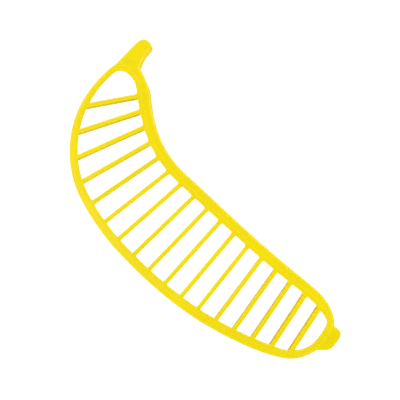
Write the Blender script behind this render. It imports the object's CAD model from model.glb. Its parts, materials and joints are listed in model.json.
"""A yellow one-piece plastic banana slicer on a pale floor, seen from straight above."""

import json
import math
from collections import Counter

import bmesh
import bpy
import numpy as np
from mathutils import Vector
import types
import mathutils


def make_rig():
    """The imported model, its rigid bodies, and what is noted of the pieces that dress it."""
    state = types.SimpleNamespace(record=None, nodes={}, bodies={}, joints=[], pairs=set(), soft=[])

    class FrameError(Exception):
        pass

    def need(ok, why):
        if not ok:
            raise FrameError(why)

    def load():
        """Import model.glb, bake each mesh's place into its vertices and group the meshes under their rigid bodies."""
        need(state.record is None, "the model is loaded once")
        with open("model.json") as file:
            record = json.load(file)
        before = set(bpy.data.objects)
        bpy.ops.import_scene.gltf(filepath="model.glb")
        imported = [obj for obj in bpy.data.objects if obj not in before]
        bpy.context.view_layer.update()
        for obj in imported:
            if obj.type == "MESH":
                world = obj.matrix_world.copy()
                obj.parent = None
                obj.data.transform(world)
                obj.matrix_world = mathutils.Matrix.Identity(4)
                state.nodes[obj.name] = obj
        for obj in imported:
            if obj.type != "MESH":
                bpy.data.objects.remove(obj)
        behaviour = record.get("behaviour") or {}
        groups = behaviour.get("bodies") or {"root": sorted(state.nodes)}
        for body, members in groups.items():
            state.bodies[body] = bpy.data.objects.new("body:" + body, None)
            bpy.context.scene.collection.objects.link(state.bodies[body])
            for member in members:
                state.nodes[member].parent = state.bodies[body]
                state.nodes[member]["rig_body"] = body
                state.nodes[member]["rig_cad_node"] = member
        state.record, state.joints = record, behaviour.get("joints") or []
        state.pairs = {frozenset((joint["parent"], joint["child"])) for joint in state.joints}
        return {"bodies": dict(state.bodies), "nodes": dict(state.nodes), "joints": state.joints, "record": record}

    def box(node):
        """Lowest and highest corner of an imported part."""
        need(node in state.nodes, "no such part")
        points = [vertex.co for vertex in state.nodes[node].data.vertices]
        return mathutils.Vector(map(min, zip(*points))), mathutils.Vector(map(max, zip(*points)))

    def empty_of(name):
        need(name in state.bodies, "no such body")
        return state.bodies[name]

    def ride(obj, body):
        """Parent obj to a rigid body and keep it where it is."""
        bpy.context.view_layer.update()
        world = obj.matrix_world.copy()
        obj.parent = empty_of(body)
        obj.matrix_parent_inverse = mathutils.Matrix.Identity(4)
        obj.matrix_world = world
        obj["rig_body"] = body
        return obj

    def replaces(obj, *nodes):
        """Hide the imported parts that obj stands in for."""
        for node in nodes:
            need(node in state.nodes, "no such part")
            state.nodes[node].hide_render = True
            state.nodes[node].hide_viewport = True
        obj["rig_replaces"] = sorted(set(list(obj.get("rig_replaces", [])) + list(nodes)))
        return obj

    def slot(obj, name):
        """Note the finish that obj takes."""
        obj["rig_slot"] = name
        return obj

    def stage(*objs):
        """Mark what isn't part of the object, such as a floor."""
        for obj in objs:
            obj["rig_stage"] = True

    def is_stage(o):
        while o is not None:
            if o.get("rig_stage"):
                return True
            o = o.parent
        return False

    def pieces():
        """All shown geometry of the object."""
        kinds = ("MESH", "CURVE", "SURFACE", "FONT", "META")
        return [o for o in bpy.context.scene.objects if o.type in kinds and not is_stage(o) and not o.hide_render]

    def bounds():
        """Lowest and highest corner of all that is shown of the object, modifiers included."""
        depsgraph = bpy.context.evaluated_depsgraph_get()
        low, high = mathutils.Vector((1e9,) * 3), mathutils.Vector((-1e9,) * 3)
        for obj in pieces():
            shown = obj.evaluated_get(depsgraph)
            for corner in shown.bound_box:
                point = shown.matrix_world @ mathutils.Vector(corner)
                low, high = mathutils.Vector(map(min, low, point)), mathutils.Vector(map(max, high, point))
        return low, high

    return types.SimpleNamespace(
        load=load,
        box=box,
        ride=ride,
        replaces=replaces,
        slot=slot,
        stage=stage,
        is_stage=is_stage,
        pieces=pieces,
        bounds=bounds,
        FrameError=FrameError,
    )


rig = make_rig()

MM = 0.001

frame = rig.load()
cad_box = [list(corner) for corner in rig.bounds()]
scene = bpy.context.scene

# ---------------------------------------------------------------- camera
CAMERA_OVER = (-0.05, -17.9)          # the point of the row that the camera looks straight down on, mm
CAMERA_HEIGHT = 532.0                 # mm above the cutting edges
CAMERA_TURN = -124.5                  # degrees about +Z

camera_data = bpy.data.cameras.new("camera")
camera_data.sensor_width = 36.0
camera_data.lens = 62.6
camera_data.shift_x = -0.0175
camera_data.shift_y = 0.035
camera_data.clip_start = 0.01
camera_data.clip_end = 20.0
camera = bpy.data.objects.new("camera", camera_data)
camera.location = (CAMERA_OVER[0] * MM, CAMERA_OVER[1] * MM, CAMERA_HEIGHT * MM)
camera.rotation_euler = (0.0, 0.0, math.radians(CAMERA_TURN))
scene.collection.objects.link(camera)
scene.camera = camera

# ---------------------------------------------------------------- colour management and light
scene.view_settings.view_transform = "Standard"
scene.view_settings.look = "None"
scene.view_settings.exposure = 0.0
scene.view_settings.gamma = 1.0

world = bpy.data.worlds.new("studio")
world.use_nodes = True
scene.world = world


def sky(world, stops):
    """Soft white sky that varies with height only."""
    nodes = world.node_tree.nodes
    links = world.node_tree.links
    place = nodes.new("ShaderNodeTexCoord")
    parts = nodes.new("ShaderNodeSeparateXYZ")
    unit = nodes.new("ShaderNodeMapRange")
    unit.inputs["From Min"].default_value = -1.0
    ramp = nodes.new("ShaderNodeFloatCurve")
    curve = ramp.mapping.curves[0]
    ramp.mapping.use_clip = False
    curve.points[0].location = ((stops[0][0] + 1) / 2, stops[0][1])
    curve.points[1].location = ((stops[-1][0] + 1) / 2, stops[-1][1])
    for height, strength in stops[1:-1]:
        curve.points.new((height + 1) / 2, strength)
    ramp.mapping.update()
    nodes["Background"].inputs["Color"].default_value = (1.0, 1.0, 1.0, 1.0)
    links.new(place.outputs["Generated"], parts.inputs["Vector"])
    links.new(parts.outputs["Z"], unit.inputs["Value"])
    links.new(unit.outputs["Result"], ramp.inputs["Value"])
    links.new(ramp.outputs["Value"], nodes["Background"].inputs["Strength"])


# Height, from -1 straight below to 1 overhead, and strength of the light from there.
SKY_STOPS = (
    (-1.0, 0.0),
    (-0.85, 0.45),
    (-0.5, 1.95),
    (0.0, 0.95),
    (0.3, 1.15),
    (0.55, 1.76),
    (0.75, 0.62),
    (0.9, 0.08),
    (1.0, 0.0),
)
sky(world, SKY_STOPS)


def area_light(name, place, size, power):
    """A square light that faces the middle of the part. Sizes are in metres and watts."""
    data = bpy.data.lights.new(name, "AREA")
    data.shape = "SQUARE"
    data.size = size
    data.energy = power
    light = bpy.data.objects.new(name, data)
    light.location = place
    light.rotation_euler = (-Vector(place)).to_track_quat("-Z", "Y").to_euler()
    scene.collection.objects.link(light)


area_light("key", (0.45, -0.65, 0.9), 0.7, 2.0)
area_light("fill", (0.11, 0.37, 0.69), 0.35, 0.7)

# ---------------------------------------------------------------- floor
FLOOR_HALF = 4                        # m from the middle of the floor to its sides
FLOOR_DROP = 0.05 * MM                # how far below the part the floor lies
FLOOR_GREY = 0.2
FLOOR_GLOW = 0.97                     # keeps the floor white, since it takes little light

floor_mesh = bpy.data.meshes.new("floor")
corners = [(x * FLOOR_HALF, y * FLOOR_HALF, 0) for x, y in ((-1, -1), (1, -1), (1, 1), (-1, 1))]
floor_mesh.from_pydata(corners, [], [(0, 1, 2, 3)])
floor = bpy.data.objects.new("floor", floor_mesh)
floor.location.z = -FLOOR_DROP
scene.collection.objects.link(floor)
floor_material = bpy.data.materials.new("pale_floor")
floor_material.use_nodes = True
shader = floor_material.node_tree.nodes["Principled BSDF"]
shader.inputs["Base Color"].default_value = (FLOOR_GREY, FLOOR_GREY, FLOOR_GREY, 1.0)
shader.inputs["Roughness"].default_value = 0.9
shader.inputs["Specular IOR Level"].default_value = 0.0
shader.inputs["Emission Color"].default_value = (1.0, 1.0, 1.0, 1.0)
shader.inputs["Emission Strength"].default_value = FLOOR_GLOW
floor.visible_diffuse = False
floor.visible_glossy = False
floor_mesh.materials.append(floor_material)
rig.stage(floor)


# ---------------------------------------------------------------- one moulded skin
VOXEL = 0.4 * MM
RELAX_ROUNDS = 7
RELAX_STEP = 0.5                      # share of the way to its neighbours' middle that a vertex moves
FULLNESS = 1.07                       # how much thicker than the CAD's the blades start
REGAIN = 0.2 * MM                     # how far the walls move out sideways after the rounding
KEEP = 0.42                           # share of the faces that the thinning keeps

# Cuts between the pieces: a point, the outward normal and how far along the cut it reaches, in mm.
STEM_CUT = ((127.2, -34.2), (0.71, -0.70), 12.0)
TIP_CUT = ((-129.3, -39.4), (-0.945, -0.327), 13.0)
GRIP_CUTS = (STEM_CUT, TIP_CUT)
RAIL_CUTS = (
    ((122.6, -27.0), (0.844, 0.537), 9.5),
    ((-124.0, -38.6), (-0.31, 0.951), 9.5),
)
BLADE_REACH = 4.2                     # mm that a blade's cut reaches to each side of its middle
BLADE_INSETS = (1.3, 1.42, 1.18, 1.54)  # mm from a blade's seat to its cut, first choice first
SEAT_HEIGHT = 0.05                    # mm within which a point counts as on the blade's edge or top
HAIR = 0.002                          # mm that a vertex on a cut's plane is moved off it
ON_PLANE = 1e-7                       # m within which the cutting tool takes a vertex as on the plane


def read_points(mesh):
    points = np.zeros(len(mesh.vertices) * 3, np.float32)
    mesh.vertices.foreach_get("co", points)
    return points.reshape(-1, 3).astype(float)


def applied(mesh, kind, **settings):
    """A new mesh: the old one through one modifier."""
    holder = bpy.data.objects.new("holder", mesh)
    scene.collection.objects.link(holder)
    modifier = holder.modifiers.new(kind, kind)
    for key, value in settings.items():
        setattr(modifier, key, value)
    graph = bpy.context.evaluated_depsgraph_get()
    result = bpy.data.meshes.new_from_object(holder.evaluated_get(graph))
    bpy.data.objects.remove(holder)
    bpy.data.meshes.remove(mesh)
    return result


def blade_axis(points):
    """The middle of a blade's cutting edge, the way along it and the way across it, from points in mm."""
    edge = points[points[:, 2] < SEAT_HEIGHT][:, :2]
    middle = edge.mean(0)
    along = np.linalg.svd(edge - middle)[2][0]
    return middle, along, np.array((-along[1], along[0]))


def joined_nodes():
    """One mesh of every node, with the blades a little fuller than the CAD's."""
    work = bmesh.new()
    for name, node in frame["nodes"].items():
        mesh = node.data.copy()
        if name.startswith("blade_"):
            points = read_points(mesh) / MM
            middle, _, across = blade_axis(points)
            points[:, :2] += np.outer((points[:, :2] - middle) @ across * (FULLNESS - 1), across)
            mesh.vertices.foreach_set("co", (points * MM).astype(np.float32).ravel())
        work.from_mesh(mesh)
        bpy.data.meshes.remove(mesh)
    mesh = bpy.data.meshes.new("joined")
    work.to_mesh(mesh)
    work.free()
    return mesh


def relax(mesh, rounds):
    """Round every edge a little: each vertex moves towards the middle of its neighbours."""
    points = read_points(mesh)
    ends = np.zeros(len(mesh.edges) * 2, np.int32)
    mesh.edges.foreach_get("vertices", ends)
    first, second = ends.reshape(-1, 2).T
    count = len(points)
    degree = np.bincount(ends, minlength=count)[:, None]
    for _ in range(rounds):
        total = np.empty_like(points)
        for axis in range(3):
            total[:, axis] = np.bincount(first, weights=points[second, axis], minlength=count)
            total[:, axis] += np.bincount(second, weights=points[first, axis], minlength=count)
        points += RELAX_STEP * (total / degree - points)
    mesh.vertices.foreach_set("co", points.astype(np.float32).ravel())


def regain_width(mesh, amount):
    """Move the walls out sideways, and keep the whole inside the box of the CAD."""
    points = read_points(mesh)
    normals = np.zeros(len(mesh.vertices) * 3, np.float32)
    mesh.vertex_normals.foreach_get("vector", normals)
    points[:, :2] += amount * normals.reshape(-1, 3)[:, :2]
    points = np.clip(points, cad_box[0], cad_box[1])
    mesh.vertices.foreach_set("co", points.astype(np.float32).ravel())


def blade_cuts(node, inset):
    """Two cuts across a blade, each parallel to the rail's wall: point, outward normal and reach, mm."""
    points = read_points(node.data) / MM
    top = points[points[:, 2] > points[:, 2].max() - SEAT_HEIGHT][:, :2]
    middle, way, side = blade_axis(points)
    reach = (top - middle) @ way
    across = (top - middle) @ side
    cuts = []
    for end in (-1, 1):
        here = reach * end > 0.5 * (reach * end).max()
        left = top[here][np.argmin(across[here])]
        right = top[here][np.argmax(across[here])]
        wall = (right - left) / np.linalg.norm(right - left)
        normal = np.array((wall[1], -wall[0]))
        normal *= np.sign(normal @ way) * end
        seat = middle + way * end * (((left + right) / 2 - middle) @ normal) / (way @ normal * end)
        cuts.append((tuple(seat - normal * inset), tuple(normal), BLADE_REACH))
    return cuts


def reading(points, point, normal):
    """How far points lie beyond a vertical plane and along it from a point, in mm, and its unit normal."""
    off = points[:, :2] - np.array(point)
    way = np.array(normal) / np.linalg.norm(normal)
    return off @ way, np.abs(off @ np.array((-way[1], way[0]))), way


def cut(work, cuts, keep_inside=()):
    """Cut the skin with vertical planes that share no face, inside the bounds. Returns the new edges."""
    bmesh.ops.triangulate(work, faces=[face for face in work.faces if len(face.verts) > 3])
    work.faces.ensure_lookup_table()
    work.verts.ensure_lookup_table()
    work.verts.index_update()
    points = np.array([vertex.co[:] for vertex in work.verts]) / MM
    triangles = np.array([[vertex.index for vertex in face.verts] for face in work.faces])
    for point, normal, reach in cuts:
        depth, aside, way = reading(points, point, normal)
        for number in np.nonzero((np.abs(depth) < HAIR) & (aside < 2 * reach))[0]:
            points[number, :2] += (HAIR - depth[number]) * way
            work.verts[int(number)].co = points[number] * MM
    middles = points[triangles].mean(1)
    allowed = np.ones(len(triangles), bool)
    for point, normal, _ in keep_inside:
        allowed &= reading(middles, point, normal)[0] < 0
    chosen = []
    for point, normal, reach in cuts:
        depth, aside, _ = reading(points, point, normal)
        depth = depth[triangles]
        near = (depth.min(1) < 0) & (depth.max(1) > 0) & (aside[triangles].min(1) < reach) & allowed
        chosen.append([work.faces[int(number)] for number in np.nonzero(near)[0]])
    seams = []
    for (point, normal, _), near in zip(cuts, chosen):
        foot = Vector((point[0] * MM, point[1] * MM, 0.0))
        way = Vector((normal[0], normal[1], 0.0)).normalized()
        geometry = set(near)
        for face in near:
            geometry.update(face.verts)
            geometry.update(face.edges)
        result = bmesh.ops.bisect_plane(
            work, geom=list(geometry), dist=ON_PLANE, plane_co=foot, plane_no=way
        )
        for item in result["geom"]:
            if isinstance(item, bmesh.types.BMEdge):
                if max(abs((vertex.co - foot).dot(way)) for vertex in item.verts) < 2 * ON_PLANE:
                    seams.append(item)
    return seams


def drop_dead_ends(work):
    """Only whole loops part the skin, so seams that lead nowhere are dropped."""
    count = Counter(vertex for edge in work.edges if edge.seam for vertex in edge.verts)
    loose = [edge for edge in work.edges if edge.seam and min(count[vertex] for vertex in edge.verts) == 1]
    while loose:
        edge = loose.pop()
        if edge.seam:
            edge.seam = False
            for vertex in edge.verts:
                count[vertex] -= 1
                if count[vertex] == 1:
                    loose += [other for other in vertex.link_edges if other.seam]


class BadCut(Exception):
    """The skin came apart in the wrong places."""


def cut_skin(mesh, inset):
    """Cut the skin along the pieces' borders. Every vertex keeps the number that it had before the split."""
    work = bmesh.new()
    work.from_mesh(mesh)
    first_cuts = list(GRIP_CUTS)
    second_cuts = []
    for name, node in frame["nodes"].items():
        if name.startswith("blade_"):
            near_end, far_end = blade_cuts(node, inset)
            first_cuts.append(near_end)
            second_cuts.append(far_end)
    for cuts, bounds in ((first_cuts, ()), (second_cuts, ()), (RAIL_CUTS, GRIP_CUTS)):
        for edge in cut(work, cuts, bounds):
            edge.seam = True
    drop_dead_ends(work)
    bmesh.ops.triangulate(work, faces=[face for face in work.faces if len(face.verts) > 3])
    layer = work.verts.layers.int.new("source")
    for number, vertex in enumerate(work.verts):
        vertex[layer] = number
    bmesh.ops.split_edges(work, edges=[edge for edge in work.edges if edge.seam])
    result = bpy.data.meshes.new("cut_skin")
    work.to_mesh(result)
    work.free()
    return result


def labels_of(count, ends):
    """One number for each connected part: the lowest vertex number in it."""
    label = np.arange(count)
    while True:
        fresh = label.copy()
        np.minimum.at(fresh, ends[:, 0], label[ends[:, 1]])
        np.minimum.at(fresh, ends[:, 1], label[ends[:, 0]])
        fresh = fresh[fresh]
        if (fresh == label).all():
            return label
        label = fresh


def closed_part(name, points, triangles, normals):
    """A closed mesh from an open part of the skin, which keeps its normals there."""
    used, corners = np.unique(triangles, return_inverse=True)
    corners = corners.reshape(-1, 3)
    mesh = bpy.data.meshes.new(name)
    mesh.from_pydata(points[used].tolist(), [], corners.tolist())
    work = bmesh.new()
    work.from_mesh(mesh)
    for face in work.faces:
        face.smooth = True
    rims = [edge for edge in work.edges if edge.is_boundary]
    caps = bmesh.ops.holes_fill(work, edges=rims, sides=0)["faces"]
    for face in bmesh.ops.triangulate(work, faces=caps)["faces"]:
        face.smooth = False
    loose = sum(1 for edge in work.edges if not edge.is_manifold)
    work.to_mesh(mesh)
    work.free()
    if loose:
        raise BadCut("%s has %d open edges" % (name, loose))
    kept = normals[used].tolist()
    custom = []
    for polygon in mesh.polygons:
        for vertex in polygon.vertices:
            custom.append(kept[vertex] if polygon.use_smooth else polygon.normal[:])
    mesh.normals_split_custom_set(custom)
    return mesh


def read_array(items, field, width, kind):
    values = np.zeros(len(items) * width, kind)
    items.foreach_get(field, values)
    return values.reshape(-1, width) if width > 1 else values


def parts_of(skin, inset):
    """One closed mesh for each node of the CAD, cut from the skin."""
    mesh = cut_skin(skin, inset)
    points = read_points(mesh)
    triangles = read_array(mesh.polygons, "vertices", 3, np.int32)
    source = read_array(mesh.attributes["source"].data, "value", 1, np.int32)
    label = labels_of(len(points), read_array(mesh.edges, "vertices", 2, np.int32))
    bpy.data.meshes.remove(mesh)

    corners = points[triangles]
    pull = np.cross(corners[:, 1] - corners[:, 0], corners[:, 2] - corners[:, 0])
    sums = np.zeros((source.max() + 1, 3))
    for corner in range(3):
        for axis in range(3):
            sums[:, axis] += np.bincount(
                source[triangles[:, corner]], weights=pull[:, axis], minlength=len(sums)
            )
    sums /= np.maximum(np.linalg.norm(sums, axis=1), 1e-30)[:, None]
    normals = sums[source]

    places = {name: sum(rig.box(name), Vector()) / 2 for name in frame["nodes"]}
    meshes = {}
    for part in np.unique(label[triangles[:, 0]]):
        mine = triangles[label[triangles[:, 0]] == part]
        spot = points[np.unique(mine)]
        middle = Vector((spot.min(0) + spot.max(0)) / 2)
        name = min(places, key=lambda node: (places[node] - middle).xy.length)
        if name in meshes:
            raise BadCut("two parts stand for %s" % name)
        meshes[name] = closed_part(name + "_skin", points, mine, normals)
    if len(meshes) != len(places):
        raise BadCut("%d parts, not %d" % (len(meshes), len(places)))
    return meshes


def moulded_pieces():
    skin = applied(joined_nodes(), "REMESH", mode="VOXEL", voxel_size=VOXEL)
    relax(skin, RELAX_ROUNDS)
    skin.update()
    regain_width(skin, REGAIN)
    skin = applied(skin, "DECIMATE", ratio=KEEP, use_collapse_triangulate=True)
    for inset in BLADE_INSETS:
        try:
            meshes = parts_of(skin, inset)
        except BadCut as fault:
            print("cut %.2f mm from the seats: %s" % (inset, fault))
            continue
        break
    else:
        print("the skin can't be cut, so plain copies of the CAD are shown")
        meshes = {name: node.data.copy() for name, node in frame["nodes"].items()}
        for name, mesh in meshes.items():
            mesh.name = name + "_skin"
            mesh.materials.clear()
    bpy.data.meshes.remove(skin)
    pieces = {}
    for name, mesh in meshes.items():
        pieces[name] = bpy.data.objects.new(mesh.name, mesh)
        scene.collection.objects.link(pieces[name])
    return pieces


# ---------------------------------------------------------------- moulded plastic
CLOUD_SCALE = 28.0                    # sizes of the noise, in cycles per metre
RIPPLE_SCALE = 90.0
SCUFF_SCALE = 420.0
GRAIN_SCALE = 1500.0
RIPPLE_DEPTH = 0.12 * MM
GRAIN_DEPTH = 0.01 * MM
FACE_COLOUR = (0.885, 0.715, 0.0005, 1.0)
CLOUD_COLOUR = (0.86, 0.685, 0.0005, 1.0)
EDGE_COLOUR = (0.76, 0.66, 0.001, 1.0)


def noise(tree, place, scale, detail, roughness=0.5):
    node = tree.nodes.new("ShaderNodeTexNoise")
    node.inputs["Scale"].default_value = scale
    node.inputs["Detail"].default_value = detail
    node.inputs["Roughness"].default_value = roughness
    tree.links.new(place.outputs["Object"], node.inputs["Vector"])
    return node.outputs["Fac"]


def spread(tree, value, low, high, to_low, to_high):
    """A value read between low and high, stretched to another range."""
    node = tree.nodes.new("ShaderNodeMapRange")
    node.interpolation_type = "SMOOTHSTEP"
    node.inputs["From Min"].default_value = low
    node.inputs["From Max"].default_value = high
    node.inputs["To Min"].default_value = to_low
    node.inputs["To Max"].default_value = to_high
    tree.links.new(value, node.inputs["Value"])
    return node.outputs["Result"]


def combine(tree, operation, first, second):
    node = tree.nodes.new("ShaderNodeMath")
    node.operation = operation
    tree.links.new(first, node.inputs[0])
    tree.links.new(second, node.inputs[1])
    return node.outputs["Value"]


def blend(tree, share, first, second):
    """Colour mixed by a share. The first is a socket or a colour, the second is a colour."""
    node = tree.nodes.new("ShaderNodeMix")
    node.data_type = "RGBA"
    tree.links.new(share, node.inputs["Factor"])
    if isinstance(first, tuple):
        node.inputs["A"].default_value = first
    else:
        tree.links.new(first, node.inputs["A"])
    node.inputs["B"].default_value = second
    return node.outputs["Result"]


def bump(tree, height, strength, distance, after=None):
    node = tree.nodes.new("ShaderNodeBump")
    node.inputs["Strength"].default_value = strength
    node.inputs["Distance"].default_value = distance
    tree.links.new(height, node.inputs["Height"])
    if after is not None:
        tree.links.new(after, node.inputs["Normal"])
    return node.outputs["Normal"]


def moulded_plastic(name):
    """Glossy moulding: cloudy pigment, faint sink and grain, and edges rubbed duller by handling."""
    material = bpy.data.materials.new(name)
    material.use_nodes = True
    tree = material.node_tree
    shader = tree.nodes["Principled BSDF"]
    shader.inputs["Specular IOR Level"].default_value = 0.25
    place = tree.nodes.new("ShaderNodeTexCoord")
    shape = tree.nodes.new("ShaderNodeNewGeometry")

    clouds = noise(tree, place, CLOUD_SCALE, 3.0)
    scuffs = noise(tree, place, SCUFF_SCALE, 4.0, 0.6)
    grain = noise(tree, place, GRAIN_SCALE, 2.0)
    ripple = noise(tree, place, RIPPLE_SCALE, 1.0)

    edges = spread(tree, shape.outputs["Pointiness"], 0.515, 0.58, 0.0, 1.0)
    patchy = spread(tree, scuffs, 0.35, 0.65, 0.7, 1.0)
    worn = combine(tree, "MULTIPLY", edges, patchy)

    pigment = blend(tree, spread(tree, clouds, 0.35, 0.65, 0.0, 1.0), FACE_COLOUR, CLOUD_COLOUR)
    tree.links.new(blend(tree, worn, pigment, EDGE_COLOUR), shader.inputs["Base Color"])

    gloss = spread(tree, scuffs, 0.3, 0.7, 0.27, 0.37)
    dulled = spread(tree, worn, 0.0, 1.0, 0.0, 0.14)
    tree.links.new(combine(tree, "ADD", gloss, dulled), shader.inputs["Roughness"])

    broad = bump(tree, ripple, 0.35, RIPPLE_DEPTH)
    fine = bump(tree, grain, 0.25, GRAIN_DEPTH, broad)
    tree.links.new(fine, shader.inputs["Normal"])
    return material


plastic = moulded_plastic("yellow_plastic")
for name, piece in moulded_pieces().items():
    piece.data.materials.append(plastic)
    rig.ride(piece, "root")
    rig.replaces(piece, name)
    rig.slot(piece, "yellow_plastic")

visual_box = [list(corner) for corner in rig.bounds()]
with open("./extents.json", "w") as out:
    json.dump({"cad": cad_box, "visual": visual_box}, out, indent=1)
